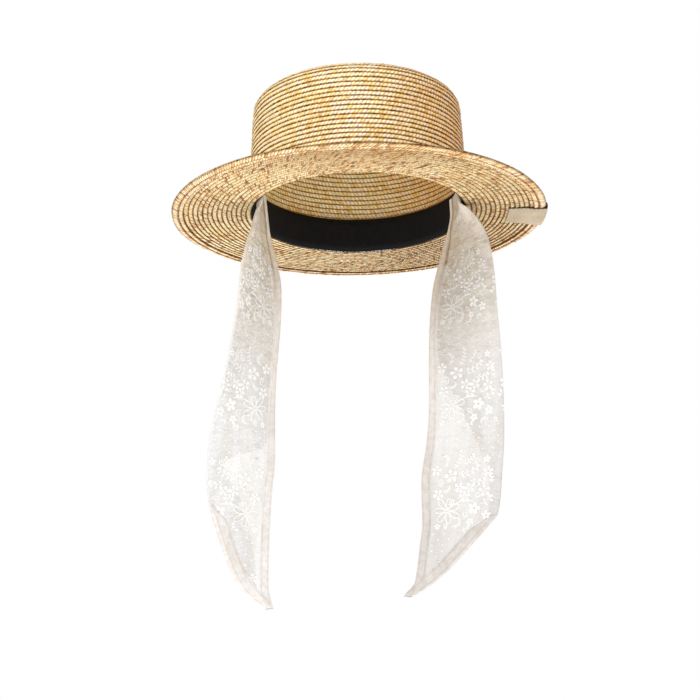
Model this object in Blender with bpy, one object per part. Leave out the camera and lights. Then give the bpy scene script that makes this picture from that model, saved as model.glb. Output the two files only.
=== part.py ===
"""Sewn straw boater with two lace ties, at its real size.

Metres, +Z up, front toward -Y. The origin is the middle of the head opening,
level with the underside of the brim. The hat is level, and the ties hang
straight down from inside the crown.
"""

import math
from collections import namedtuple

import bmesh
import bpy
from mathutils import Vector

# Straw body. The crown's foot is an oval, and every other oval of the hat is
# that one moved outward by some distance, called "out" below. TIP_PARTS are the
# rings of the crown's flat tip, as parts of the way from its edge to its core.
CROWN_HALF_WIDTH = 0.0890
CROWN_HALF_DEPTH = 0.1025
CROWN_TOP = 0.0940
CROWN_TOP_INSET = 0.0055
CROWN_EDGE_RADIUS = 0.0100
CROWN_DOME = 0.0015
TIP_CORE = 0.0050
TIP_PARTS = (0.4, 0.8, 1.0)
BRIM_WIDTH = 0.0615
STRAW = 0.0020
GAP = 0.0003

# Braid rows. Each row laps over the next one by a small step.
ROW_PITCH = 0.0039
ROW_STEP = 0.0007
BAND_WIDTH = 0.0093
BAND_DROP = 0.0018
BAND_STEP = 0.0008
BRIM_EDGE_ROUND = 0.0006

# Ribbon sweatband
RIBBON = 0.0010
RIBBON_BOTTOM = 0.0004
RIBBON_TOP = 0.0280

# Tape folded over the brim's edge at the right
TAPE = 0.0008
TAPE_REACH = 0.0300
TAPE_LENGTH = 0.0410
TAPE_MIDDLE_Y = 0.0095

# Lace ties. A soft ripple runs down each, and starts just below the brim.
LACE = 0.0010
LAYER_PITCH = 0.0024
RIPPLE = 0.0014
RIPPLE_LENGTH = 0.048
RIPPLE_DRIFT = 0.250
RIPPLE_START = -0.004
RIPPLE_FULL = -0.060
RIPPLE_WIDTH = 0.050

MM = 0.001
SHARP_ANGLE = 35
SEGMENTS = 38
ARC_STEPS = 5
TAPE_STEPS = 4
FRONT_STEPS = 6
BACK_STEPS = 4
FOLD_ANGLES = (-45, 45)
ROWS_PER_SECTION = 2

# A tie is one strip folded lengthwise. Its hem edge hangs toward the face, and
# its fold, or its slanting cut end, is its outer edge. A section is a level
# line across it, in millimetres; back is the width of the layer behind, and
# bow is how far the middle of the section bulges away from the face.
Section = namedtuple("Section", "height hem_x hem_y outer_x outer_y back bow")

LEFT_TIE = [
    Section(22, -75.6, 15.0, -74.0, -38.0, 48, 4.9),
    Section(8, -74.3, 15.0, -74.5, -38.4, 48, 5.2),
    Section(-2, -73.4, 15.0, -76.0, -38.4, 48, 4.4),
    Section(-9, -72.7, 15.0, -79.4, -38.0, 48, 3.0),
    Section(-21, -70.9, 15.0, -82.6, -38.0, 48, 1.8),
    Section(-36, -67.5, 14.0, -87.4, -37.5, 48, 1.0),
    Section(-55, -65.0, 12.5, -92.2, -35.5, 48, 1.0),
    Section(-86, -65.3, 10.5, -96.6, -33.5, 48, 1.0),
    Section(-110, -66.8, 9.2, -100.7, -32.7, 48, 1.0),
    Section(-135, -68.3, 8.0, -105.5, -31.0, 48, 1.0),
    Section(-162, -68.9, 6.6, -111.8, -26.3, 48, 1.0),
    Section(-190, -69.2, 5.0, -118.3, -20.0, 47, 1.0),
    Section(-205, -69.6, 4.0, -119.8, -17.5, 14, 1.0),
    Section(-232, -72.6, 3.0, -120.2, -15.0, 25, 1.0),
    Section(-258, -74.4, 2.0, -114.6, -11.0, 27, 0.8),
    Section(-282, -75.6, 1.5, -106.6, -7.5, 22, 0.5),
    Section(-304, -75.8, 1.0, -95.5, -4.0, 12, 0.2),
    Section(-314, -73.8, 0.5, -86.0, -1.5, 6, 0.0),
    Section(-320, -72.0, 0.5, -77.0, -0.5, 3, 0.0),
]

RIGHT_TIE = [
    Section(22, 74.9, 36.0, 77.6, -27.0, 56, 3.8),
    Section(8, 75.2, 36.0, 78.3, -27.0, 56, 3.6),
    Section(-2, 73.4, 35.6, 79.4, -27.0, 56, 3.0),
    Section(-6, 72.4, 35.0, 84.8, -26.7, 56, 2.6),
    Section(-16, 69.6, 33.5, 93.4, -25.0, 56, 1.8),
    Section(-30, 66.2, 30.0, 99.6, -23.5, 56, 1.2),
    Section(-55, 60.2, 23.0, 103.8, -21.5, 56, 1.0),
    Section(-90, 55.7, 17.0, 106.4, -19.0, 56, 1.0),
    Section(-126, 53.4, 12.5, 108.8, -16.5, 53, 1.0),
    Section(-160, 52.0, 10.0, 109.2, -15.0, 38, 1.0),
    Section(-190, 49.0, 8.0, 108.4, -13.0, 23, 1.0),
    Section(-217, 44.6, 6.0, 106.0, -11.0, 11, 1.0),
    Section(-250, 44.4, 4.0, 101.4, -9.0, 7, 0.8),
    Section(-258, 44.2, 3.5, 95.0, -8.0, 7, 0.8),
    Section(-270, 42.5, 3.0, 84.5, -6.0, 7, 0.5),
    Section(-294, 39.0, 1.5, 60.6, -2.0, 6, 0.2),
    Section(-304, 36.2, 1.0, 48.2, -1.0, 5, 0.1),
    Section(-309, 31.0, 0.5, 40.4, -0.5, 4, 0.0),
    Section(-312.5, 28.4, 0.5, 33.6, 0.0, 3, 0.0),
]


def clear_scene():
    """Remove every object that the file opened with."""
    for item in list(bpy.data.objects):
        bpy.data.objects.remove(item, do_unlink=True)


def plain_material(name, colour, roughness):
    """A Principled material of one colour."""
    material = bpy.data.materials.new(name)
    material.use_nodes = True
    shader = material.node_tree.nodes["Principled BSDF"]
    shader.inputs["Base Color"].default_value = (*colour, 1.0)
    shader.inputs["Roughness"].default_value = roughness
    shader.inputs["Metallic"].default_value = 0.0
    return material


def make_object(name, loops, material, wrap_loops):
    """Skin a list of equal point loops into one closed solid.

    Loops that don't wrap round to the first are closed by an end face each.
    """
    mesh = bpy.data.meshes.new(name)
    bm = bmesh.new()
    rows = [[bm.verts.new(point) for point in loop] for loop in loops]
    count = len(rows[0])
    next_rows = rows[1:] + rows[:1] if wrap_loops else rows[1:]
    for low, high in zip(rows, next_rows):
        for i in range(count):
            j = (i + 1) % count
            bm.faces.new((low[i], low[j], high[j], high[i]))
    if not wrap_loops:
        cap_ends(bm, (rows[0], rows[-1]))
    bmesh.ops.recalc_face_normals(bm, faces=bm.faces)
    bm.to_mesh(mesh)
    bm.free()
    mesh.shade_smooth()
    mesh.set_sharp_from_angle(angle=math.radians(SHARP_ANGLE))
    mesh.materials.append(material)
    item = bpy.data.objects.new(name, mesh)
    bpy.context.scene.collection.objects.link(item)
    return item


def cap_ends(bm, ends):
    """Close each end loop with quads that pair its two halves."""
    for loop in ends:
        count = len(loop)
        for i in range(count // 2 - 1):
            bm.faces.new((loop[i], loop[i + 1], loop[count - 2 - i], loop[count - 1 - i]))


def oval(out, height):
    """One level oval of the hat, moved outward from the crown's foot."""
    points = []
    for i in range(SEGMENTS):
        turn = 2 * math.pi * (i + 0.5) / SEGMENTS
        points.append(oval_point(out, height, turn))
    return points


def oval_point(out, height, turn):
    """The point of that oval at one turn angle, from +X toward +Y."""
    return Vector((
        (CROWN_HALF_WIDTH + out) * math.cos(turn),
        (CROWN_HALF_DEPTH + out) * math.sin(turn),
        height,
    ))


def wall_out(height):
    """How far out the crown's outer face is: it leans in toward the top."""
    return -CROWN_TOP_INSET * height / CROWN_TOP


def row_ends(start, end):
    """Split a stretch into whole braid rows and give each row's two ends."""
    rows = round(abs(end - start) / ROW_PITCH)
    step = (end - start) / rows
    return [(start + k * step, start + (k + 1) * step) for k in range(rows)]


def crown_shell(inside):
    """The crown's profile from foot to tip, on its outer or inner face."""
    depth = STRAW if inside else 0.0
    radius = CROWN_EDGE_RADIUS - depth
    bend = CROWN_TOP - CROWN_EDGE_RADIUS
    foot = STRAW + GAP
    if inside:
        profile = [(wall_out(foot) - depth, foot)]
    else:
        profile = []
        for low, high in row_ends(foot, bend):
            profile.append((wall_out(low), low))
            profile.append((wall_out(high) - ROW_STEP, high))
    middle = wall_out(bend) - CROWN_EDGE_RADIUS
    for k in range(ARC_STEPS + 1):
        angle = math.pi / 2 * k / ARC_STEPS
        profile.append((middle + radius * math.cos(angle), bend + radius * math.sin(angle)))
    core = TIP_CORE - CROWN_HALF_WIDTH
    for part in TIP_PARTS:
        rise = CROWN_DOME * (1 - (1 - part) ** 2)
        profile.append((middle + (core - middle) * part, CROWN_TOP - depth + rise))
    return profile


def make_crown(material):
    """Side and tip in one wall of sewn braid, open at the foot."""
    profile = crown_shell(inside=True)[::-1] + crown_shell(inside=False)
    loops = [oval(out, height) for out, height in profile]
    return make_object("crown", loops, material, wrap_loops=False)


def make_brim(material):
    """Flat ring: braid rows underneath and a doubled band at the edge."""
    band = BRIM_WIDTH - BAND_WIDTH
    profile = [(-STRAW, STRAW)]
    for inner, outer in row_ends(-STRAW, band):
        profile.append((inner, -ROW_STEP))
        profile.append((outer, 0.0))
    middle = BRIM_WIDTH - BAND_WIDTH / 2
    profile += [
        (band, -BAND_DROP),
        (middle, BAND_STEP - BAND_DROP),
        (middle, -BAND_DROP),
        (BRIM_WIDTH - BRIM_EDGE_ROUND, -2 * BRIM_EDGE_ROUND),
        (BRIM_WIDTH, -BRIM_EDGE_ROUND),
        (BRIM_WIDTH, STRAW - BRIM_EDGE_ROUND),
        (BRIM_WIDTH - BRIM_EDGE_ROUND, STRAW),
    ]
    loops = [oval(out, height) for out, height in profile]
    return make_object("brim", loops, material, wrap_loops=True)


def make_sweatband(material):
    """Plain ribbon standing against the inside of the crown's foot."""
    profile = []
    for depth, heights in ((0.0, (RIBBON_BOTTOM, RIBBON_TOP)), (RIBBON, (RIBBON_TOP, RIBBON_BOTTOM))):
        for height in heights:
            profile.append((wall_out(height) - STRAW - GAP - depth, height))
    loops = [oval(out, height) for out, height in profile]
    return make_object("sweatband", loops, material, wrap_loops=True)


def make_label(material):
    """Blank tape folded over the brim's edge at the right, along its curve."""
    inner = BRIM_WIDTH - TAPE_REACH
    below = -BAND_DROP - GAP
    above = STRAW + GAP
    near = BRIM_WIDTH + GAP
    middle = (below + above) / 2
    profile = [
        (inner, below - TAPE),
        (near, below - TAPE),
        (near + TAPE, middle),
        (near, above + TAPE),
        (inner, above + TAPE),
        (inner, above),
        (near, above),
        (near, middle),
        (near, below),
        (inner, below),
    ]
    half_depth = CROWN_HALF_DEPTH + BRIM_WIDTH
    loops = []
    for k in range(TAPE_STEPS + 1):
        along = TAPE_MIDDLE_Y + TAPE_LENGTH * (k / TAPE_STEPS - 0.5)
        turn = math.asin(along / half_depth)
        loops.append([oval_point(out, height, turn) for out, height in profile])
    return make_object("label", loops, material, wrap_loops=False)


def blend(sections, height):
    """The section at any height in millimetres, on a smooth curve."""
    last = len(sections) - 1
    k = max(i for i in range(last) if i == 0 or sections[i].height >= height)
    span = sections[k + 1].height - sections[k].height
    t = (height - sections[k].height) / span

    def slope(i, column):
        before = sections[max(i - 1, 0)]
        after = sections[min(i + 1, last)]
        return (after[column] - before[column]) / (after.height - before.height)

    values = []
    for column in range(len(sections[0])):
        start, end = sections[k][column], sections[k + 1][column]
        rise, fall = slope(k, column) * span, slope(k + 1, column) * span
        values.append(
            start * (1 + 2 * t) * (1 - t) ** 2
            + rise * t * (1 - t) ** 2
            + end * t * t * (3 - 2 * t)
            - fall * t * t * (1 - t)
        )
    return Section(*values)


def tie_line(section, side):
    """Middle line of the folded cloth at one height: front, fold, back."""
    height = section.height * MM
    hem = Vector((section.hem_x, section.hem_y, section.height)) * MM
    outer = Vector((section.outer_x, section.outer_y, section.height)) * MM
    width = (outer - hem).length
    across = (outer - hem) / width
    behind = Vector((-across.y, across.x, 0)) * side
    fade = min(max((RIPPLE_START - height) / (RIPPLE_START - RIPPLE_FULL), 0.0), 1.0)
    swing = RIPPLE * fade * min(width / RIPPLE_WIDTH, 1.0)

    def front(distance):
        part = distance / width
        bulge = section.bow * MM * 4 * part * (1 - part)
        turn = 2 * math.pi * (distance / RIPPLE_LENGTH + height / RIPPLE_DRIFT)
        return hem + across * distance + behind * (bulge + swing * math.sin(turn))

    line = [front(width * i / FRONT_STEPS) for i in range(FRONT_STEPS + 1)]
    radius = LAYER_PITCH / 2
    centre = line[-1] + behind * radius
    for degrees in FOLD_ANGLES:
        angle = math.radians(degrees)
        line.append(centre + across * radius * math.cos(angle) + behind * radius * math.sin(angle))
    for j in range(BACK_STEPS + 1):
        distance = width - section.back * MM * j / BACK_STEPS
        line.append(front(distance) + behind * LAYER_PITCH)
    return line


def thicken(line):
    """Closed loop round a level line, half the lace's thickness each way."""
    outer, inner = [], []
    for i, point in enumerate(line):
        along = (line[min(i + 1, len(line) - 1)] - line[max(i - 1, 0)]).normalized()
        normal = Vector((-along.y, along.x, 0)) * LACE / 2
        outer.append(point + normal)
        inner.append(point - normal)
    return outer + inner[::-1]


def make_tie(name, sections, side, material):
    """One folded strip; side is -1 for the left tie and 1 for the right."""
    loops = []
    for upper, lower in zip(sections, sections[1:]):
        for k in range(ROWS_PER_SECTION):
            height = upper.height + (lower.height - upper.height) * k / ROWS_PER_SECTION
            loops.append(thicken(tie_line(blend(sections, height), side)))
    loops.append(thicken(tie_line(sections[-1], side)))
    return make_object(name, loops, material, wrap_loops=False)


def main():
    clear_scene()
    straw = plain_material("straw", (0.66, 0.48, 0.28), 0.55)
    ribbon = plain_material("ribbon", (0.008, 0.008, 0.010), 0.70)
    lace = plain_material("lace", (0.82, 0.78, 0.74), 0.80)
    tape = plain_material("tape", (0.66, 0.56, 0.44), 0.65)
    make_crown(straw)
    make_brim(straw)
    make_sweatband(ribbon)
    make_label(tape)
    make_tie("tie_left", LEFT_TIE, -1, lace)
    make_tie("tie_right", RIGHT_TIE, 1, lace)


main()
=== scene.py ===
"""Looks of the straw boater with two lace ties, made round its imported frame.

Metres, +Z up, front toward -Y, as in the frame. The braid, the ties and the
small trims are meshes worked out row by row, and every finish is procedural.
"""
import math
from collections import namedtuple

import bpy
import numpy as np
from mathutils import Matrix, Vector


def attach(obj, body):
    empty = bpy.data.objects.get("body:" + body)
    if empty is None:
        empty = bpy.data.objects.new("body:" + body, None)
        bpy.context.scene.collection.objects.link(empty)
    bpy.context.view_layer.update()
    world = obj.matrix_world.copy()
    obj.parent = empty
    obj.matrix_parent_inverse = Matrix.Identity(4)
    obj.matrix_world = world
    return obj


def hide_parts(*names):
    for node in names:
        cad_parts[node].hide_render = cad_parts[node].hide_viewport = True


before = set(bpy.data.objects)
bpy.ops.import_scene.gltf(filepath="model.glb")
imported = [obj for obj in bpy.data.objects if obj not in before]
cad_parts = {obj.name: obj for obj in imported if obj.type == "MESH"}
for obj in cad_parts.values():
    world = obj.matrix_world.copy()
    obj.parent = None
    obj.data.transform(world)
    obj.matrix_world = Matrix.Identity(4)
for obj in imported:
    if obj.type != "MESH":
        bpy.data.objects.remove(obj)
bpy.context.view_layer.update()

MM = 0.001
TURN = 2 * math.pi
WHITE = (1.0, 1.0, 1.0)
GREY = (0.7, 0.7, 0.7)
BLACK = (0.0, 0.0, 0.0)

# Camera at the photograph's viewing angle: below the brim, in front, looking up
CAMERA_PLACE = Vector((0.0, -1.8933, -0.6445))
CAMERA_RIGHT = Vector((0.99977, 0.01014, -0.01877))
CAMERA_UP = Vector((0.02081, -0.26972, 0.96271))
CAMERA_FORWARD = Vector((-0.00470, 0.96289, 0.26987))
LENS_MM = 127.4
SENSOR_MM = 36.0
FLOOR_HEIGHT = -1.30
FLOOR_HALF = 4.0

# Straw body, as in the solids: every oval is the crown's foot moved outward
CROWN_HALF_WIDTH = 0.0890
CROWN_HALF_DEPTH = 0.1025
CROWN_TOP = 0.0940
CROWN_TOP_INSET = 0.0055
CROWN_EDGE_RADIUS = 0.0100
CROWN_DOME = 0.0015
BRIM_WIDTH = 0.0615
STRAW = 0.0020
GAP = 0.0003
BAND_WIDTH = 0.0093
BAND_DROP = 0.0018
OVAL_STEPS = 720
STRAW_SEED = 7

# Braid rows: how far apart they lie, and how far each laps over the next
ROW_PITCH = 0.0039
ROW_LAP = 0.0015
BARE_SHARE = 0.55
BACK_DEPTH = -0.0007
CROWN_FOOT = 0.0008
BRIM_LEVEL = -0.00035
BAND_ROWS = 2

# Ribbon sweatband and its ribs
RIBBON = 0.0010
RIBBON_BOTTOM = 0.0004
RIBBON_TOP = 0.0280
RIB_PITCH = 0.0015
RIB_HEIGHT = 0.00012

# Tape folded over the brim's edge at the right
TAPE = 0.0008
TAPE_REACH = 0.0300
TAPE_LENGTH = 0.0410
TAPE_MIDDLE_Y = 0.0095
TAPE_SLOPE = 0.0060
TAPE_RISE = 0.0012
TAPE_BEND = 0.45
TAPE_FULLNESS = 0.8
TAPE_PUCKER = 0.00012
LABEL_SEAM = -9.9

# Lace ties, as in the solids
LAYER_PITCH = 0.0024
RIPPLE = 0.0014
RIPPLE_LENGTH = 0.048
RIPPLE_DRIFT = 0.250
RIPPLE_START = -0.004
RIPPLE_FULL = -0.060
RIPPLE_WIDTH = 0.050

# Tuck beside the hem below the brim: how deep, how far from the hem's edge, how
# wide, and how far below the brim it starts, is full, begins to fade and ends
PLEAT = 0.0018
PLEAT_PLACE = 0.0063
PLEAT_WIDTH = 0.0022
PLEAT_DEPTHS = (0.006, 0.016, 0.050, 0.095)

# Their cloth grid and hems, in millimetres, and the fold in degrees
CLOTH_ROW_STEP = 1.5
FRONT_STEPS = 38
BACK_STEPS = 32
FOLD_ANGLES = (-60, -20, 20, 60)
HEM = 6.8
HIGH_HEM = 5.2
HEM_HEIGHTS = (-190, -90)
CUT_HEM = 9.0
CUT_TAPER = 12.0
HEM_LIFT = 0.42
CUT_LIFT = 0.54
HEM_ROW_STEP = 3.0
END_INSET = 0.3

# A hem's cross section, as places inward from its edge in shares of its width
# and as shares of its lift. At the cut it also wraps the turned edge.
HEM_SECTION = ((-0.04, 0.0), (0.0, 0.75), (0.06, 1.0), (0.5, 1.0), (0.94, 1.0), (1.0, 0.55))
CUT_SECTION = ((-0.50, 0.0), (-0.34, 1.0), (-0.17, 1.0), (0.0, 1.0), (0.5, 1.0), (0.94, 1.0), (1.0, 0.55))
STITCH_PITCH = 2.3
STITCH_INSET = 0.9
STITCH = (0.75, 0.22)
STITCH_LIFT = 0.16
NET_CELL = 1.15

Section = namedtuple("Section", "height hem_x hem_y outer_x outer_y back bow")

LEFT_TIE = [Section(*row) for row in (
    (22, -75.6, 15, -74, -38, 48, 4.9),
    (8, -74.3, 15, -74.5, -38.4, 48, 5.2),
    (-2, -73.4, 15, -76, -38.4, 48, 4.4),
    (-9, -72.7, 15, -79.4, -38, 48, 3),
    (-21, -70.9, 15, -82.6, -38, 48, 1.8),
    (-36, -67.5, 14, -87.4, -37.5, 48, 1),
    (-55, -65, 12.5, -92.2, -35.5, 48, 1),
    (-86, -65.3, 10.5, -96.6, -33.5, 48, 1),
    (-110, -66.8, 9.2, -100.7, -32.7, 48, 1),
    (-135, -68.3, 8, -105.5, -31, 48, 1),
    (-162, -68.9, 6.6, -111.8, -26.3, 48, 1),
    (-190, -69.2, 5, -118.3, -20, 47, 1),
    (-205, -69.6, 4, -119.8, -17.5, 14, 1),
    (-232, -72.6, 3, -120.2, -15, 25, 1),
    (-258, -74.4, 2, -114.6, -11, 27, 0.8),
    (-282, -75.6, 1.5, -106.6, -7.5, 22, 0.5),
    (-304, -75.8, 1, -95.5, -4, 12, 0.2),
    (-314, -73.8, 0.5, -86, -1.5, 6, 0),
    (-320, -72, 0.5, -77, -0.5, 3, 0),
)]

RIGHT_TIE = [Section(*row) for row in (
    (22, 74.9, 36, 77.6, -27, 56, 3.8),
    (8, 75.2, 36, 78.3, -27, 56, 3.6),
    (-2, 73.4, 35.6, 79.4, -27, 56, 3),
    (-6, 72.4, 35, 84.8, -26.7, 56, 2.6),
    (-16, 69.6, 33.5, 93.4, -25, 56, 1.8),
    (-30, 66.2, 30, 99.6, -23.5, 56, 1.2),
    (-55, 60.2, 23, 103.8, -21.5, 56, 1),
    (-90, 55.7, 17, 106.4, -19, 56, 1),
    (-126, 53.4, 12.5, 108.8, -16.5, 53, 1),
    (-160, 52, 10, 109.2, -15, 38, 1),
    (-190, 49, 8, 108.4, -13, 23, 1),
    (-217, 44.6, 6, 106, -11, 11, 1),
    (-250, 44.4, 4, 101.4, -9, 7, 0.8),
    (-258, 44.2, 3.5, 95, -8, 7, 0.8),
    (-270, 42.5, 3, 84.5, -6, 7, 0.5),
    (-294, 39, 1.5, 60.6, -2, 6, 0.2),
    (-304, 36.2, 1, 48.2, -1, 5, 0.1),
    (-309, 31, 0.5, 40.4, -0.5, 4, 0),
    (-312.5, 28.4, 0.5, 33.6, 0, 3, 0),
)]

# A braid's strands: their pitch and lean along the row, and the row's cross
# section, each point as its share of the width, its depth in millimetres and its
# share of the swell. Each strand has two or three columns of points, and a pair
# gives a column's place along the strand and its share of the swell.
Braid = namedtuple("Braid", "strand lean tilt swell scallop wander columns section")

ROPE = Braid(
    strand=3.2 * MM,
    lean=3.4 * MM,
    tilt=0.95 * MM,
    swell=0.50 * MM,
    scallop=0.50 * MM,
    wander=0.26 * MM,
    columns=((0.0, 0.1), (0.32, 1.0), (0.72, 0.7)),
    section=(
        (0.00, -0.50, 0.1),
        (0.03, 0.00, 0.5),
        (0.17, 0.22, 0.9),
        (0.40, 0.28, 1.0),
        (0.66, 0.05, 0.7),
        (1.00, -0.40, 0.0),
        (0.75, -0.95, 0.5),
        (0.25, -0.90, 0.5),
    ),
)

PLAIT = Braid(
    strand=1.75 * MM,
    lean=4.6 * MM,
    tilt=0.80 * MM,
    swell=0.42 * MM,
    scallop=0.36 * MM,
    wander=0.22 * MM,
    columns=((0.0, 0.0), (0.5, 1.0)),
    section=(
        (0.00, -0.45, 0.1),
        (0.03, 0.00, 0.5),
        (0.20, 0.12, 0.9),
        (0.45, 0.12, 1.0),
        (0.70, 0.02, 0.8),
        (1.00, -0.35, 0.0),
        (0.72, -0.80, 0.5),
        (0.28, -0.80, 0.5),
    ),
)

EDGE_PLAIT = PLAIT._replace(
    strand=2.9 * MM,
    lean=4.2 * MM,
    swell=0.50 * MM,
    scallop=0.80 * MM,
    wander=0.30 * MM,
    columns=((0.0, 0.0), (0.35, 1.0), (0.70, 0.8)),
)

# Straw tones: which share of the strands has which colour
CROWN_TONES = (
    (0.00, (0.90, 0.68, 0.30)),
    (0.10, (0.97, 0.84, 0.44)),
    (0.35, (1.00, 0.97, 0.66)),
    (0.70, (1.00, 1.00, 0.82)),
    (1.00, (1.00, 1.00, 0.92)),
)
BRIM_TONES = (
    (0.00, (0.30, 0.14, 0.05)),
    (0.14, (0.68, 0.42, 0.18)),
    (0.30, (1.00, 0.76, 0.41)),
    (0.55, (1.00, 0.88, 0.53)),
    (1.00, (1.00, 0.96, 0.71)),
)
EDGE_TONES = (
    (0.00, (0.50, 0.28, 0.12)),
    (0.16, (0.82, 0.58, 0.31)),
    (0.42, (0.98, 0.80, 0.52)),
    (0.70, (1.00, 0.88, 0.62)),
    (1.00, (1.00, 0.96, 0.84)),
)

# Heights in millimetres below which the ties' ends are cut on the slant
LEFT_CUT = -240
RIGHT_CUT = -250

# One repeat of the lace's pattern, in millimetres from the hem and down from the
# top of a flowered stretch. Size is a motif's radius or length.
Motif = namedtuple("Motif", "kind across down size turn")
REPEAT = 84
FIRST_REPEAT = -29
CHART_WIDTH = 59
EMBROIDERY_TOP = -20
CHART = [Motif(*row) for row in (
    ("crescent", 19, 8, 5, 15),
    ("sprig", 27, 15, 14, 62),
    ("sprig", 34, 12.5, 10, 35),
    ("leaf", 43, 12, 6.5, 60),
    ("solid flower", 52, 9, 3.4, 10),
    ("ring flower", 12, 15.5, 4.6, 10),
    ("ring flower", 24.5, 21, 6, 30),
    ("branch", 30.5, 20, 16, 8),
    ("ring flower", 54, 19, 4.6, 15),
    ("branch", 40, 25.5, 11, -12),
    ("leaf", 15, 22.5, 7, -75),
    ("ring flower", 13.5, 35, 4.8, 50),
    ("crescent", 21, 31, 3.8, -60),
    ("ring flower", 31.5, 31, 4.8, 0),
    ("ring flower", 39.4, 31.5, 4.6, 36),
    ("ring flower", 35.2, 38.2, 4.8, 18),
    ("leaf", 43, 38, 6, 15),
    ("ring flower", 51, 34, 5.2, 25),
    ("sprig", 56, 28.5, 8, 80),
    ("leaf", 27, 40, 6.5, 215),
    ("daisy", 20, 48.5, 9.5, 20),
    ("stem", 23, 46, 19, 12),
    ("solid flower", 42, 48, 5.8, 0),
    ("branch", 47, 44.5, 10, 20),
    ("leaf", 33, 50.5, 6, -50),
    ("crescent", 28, 58.5, 4.4, -30),
    ("leaf", 19, 57.5, 5.5, -100),
    ("solid flower", 38.5, 58.5, 3.6, 45),
    ("sprig", 31, 65, 7, 10),
    ("solid flower", 51, 54, 4.4, 20),
    ("crescent", 47, 61.5, 3.4, 110),
    ("solid flower", 12, 60.5, 2.8, 20),
    ("leaf", 56, 60, 5, -60),
)]
DOT_ROWS = (-4.0, 0.5, 66.5, 71.0, 75.5)
DOT_PITCH = 8.4
DOT_FIRST = 9.5
DOT_RADIUS = 0.75
SPRIG_LEAF = 1.35
BRANCH_LEAF = 2.0

# A satin pad's sides, and its rings as shares of its radius and of its lift
PAD_SIDES = 7
PAD_RINGS = ((0.02, 1.0), (0.62, 0.9), (1.0, 0.0), (0.62, -0.9), (0.02, -1.0))


# Mesh helpers


def add_object(name, data):
    item = bpy.data.objects.new(name, data)
    bpy.context.scene.collection.objects.link(item)
    return item


def fill_mesh(name, points, quads, uvs=None):
    """A smooth mesh from arrays of points, quads and a UV for each quad corner."""
    mesh = bpy.data.meshes.new(name)
    mesh.vertices.add(len(points))
    mesh.vertices.foreach_set("co", np.ascontiguousarray(points, np.float32).ravel())
    mesh.loops.add(quads.size)
    mesh.loops.foreach_set("vertex_index", quads.astype(np.int32).ravel())
    mesh.polygons.add(len(quads))
    mesh.polygons.foreach_set("loop_start", np.arange(0, quads.size, 4, dtype=np.int32))
    if uvs is not None:
        layer = mesh.uv_layers.new(name="UVMap")
        layer.data.foreach_set("uv", np.ascontiguousarray(uvs, np.float32).ravel())
    mesh.update(calc_edges=True)
    mesh.validate()
    mesh.shade_smooth()
    return add_object(name, mesh)


class Patchwork:
    """Gathers grids of points into one mesh."""

    def __init__(self):
        self.points, self.quads, self.uvs = [], [], []
        self.count = 0

    def add_grid(self, points, us, vs, wrap_rows=False, wrap_columns=False):
        """Join a grid of points; us and vs are its UV lines, one longer where it wraps."""
        rows, columns = points.shape[:2]
        i = np.arange(rows if wrap_rows else rows - 1)
        j = np.arange(columns if wrap_columns else columns - 1)
        i, j = np.meshgrid(i, j, indexing="ij")
        i, j = i.ravel(), j.ravel()
        corners = [(i, j), (i + 1, j), (i + 1, j + 1), (i, j + 1)]
        quads = [(a % rows) * columns + b % columns for a, b in corners]
        self.points.append(points.reshape(-1, 3))
        self.quads.append(np.stack(quads, axis=1) + self.count)
        self.uvs.append(np.stack([np.stack([us[a], vs[b]], axis=1) for a, b in corners], axis=1))
        self.count += rows * columns

    def finish(self, name):
        return fill_mesh(name, *map(np.concatenate, (self.points, self.quads, self.uvs)))


def round_body(out, turn, height):
    """Points on the hat's ovals, this far out from the crown's foot."""
    half_width = np.maximum(CROWN_HALF_WIDTH + out, 0)
    half_depth = CROWN_HALF_DEPTH + out
    return np.stack([half_width * np.cos(turn), half_depth * np.sin(turn), height], axis=2)


def distances(line):
    """How far along a line each of its points is."""
    return np.concatenate([[0], np.cumsum(np.hypot(*np.diff(line, axis=0).T))])


def turned(across, height, distance, turn):
    """The place at a distance and a direction from another place."""
    return across + distance * math.cos(turn), height + distance * math.sin(turn)


def swung(across, height, a, b, turn):
    """Places given along and across a motif's own direction."""
    cos, sin = math.cos(turn), math.sin(turn)
    return across + a * cos - b * sin, height + a * sin + b * cos


def put_on(item, material, slot, *nodes):
    """Give a piece its finish, hang it from the root, and hide the frame parts that it stands for."""
    item.data.materials.append(material)
    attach(item, "root")
    if nodes:
        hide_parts(*nodes)
    return item


# Straw braid


def wall_out(height):
    """How far out the crown's outer face is: it leans in toward the top."""
    return -CROWN_TOP_INSET * height / CROWN_TOP


def crown_path():
    """The crown's outer profile as evenly run points from foot to middle of the tip."""
    bend = CROWN_TOP - CROWN_EDGE_RADIUS
    line = [(wall_out(h), h) for h in np.linspace(CROWN_FOOT, bend, 60)]
    middle = wall_out(bend) - CROWN_EDGE_RADIUS
    for angle in np.linspace(0, math.pi / 2, 24)[1:]:
        line.append(turned(middle, bend, CROWN_EDGE_RADIUS, angle))
    for part in np.linspace(0, 1, 60)[1:]:
        rise = CROWN_DOME * (1 - (1 - part) ** 2)
        line.append((middle + (-CROWN_HALF_WIDTH - middle) * part, CROWN_TOP + rise))
    return np.array(line)


def along_path(path, run):
    """The point and the outward face direction at one distance along a profile."""
    length = distances(path)

    def point_at(distance):
        return np.array([np.interp(distance, length, path[:, i]) for i in (0, 1)])

    near = min(max(run, MM), length[-1] - MM)
    step = point_at(near + MM) - point_at(near - MM)
    along = step / np.linalg.norm(step)
    return point_at(run), np.array((along[1], -along[0]))


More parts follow.
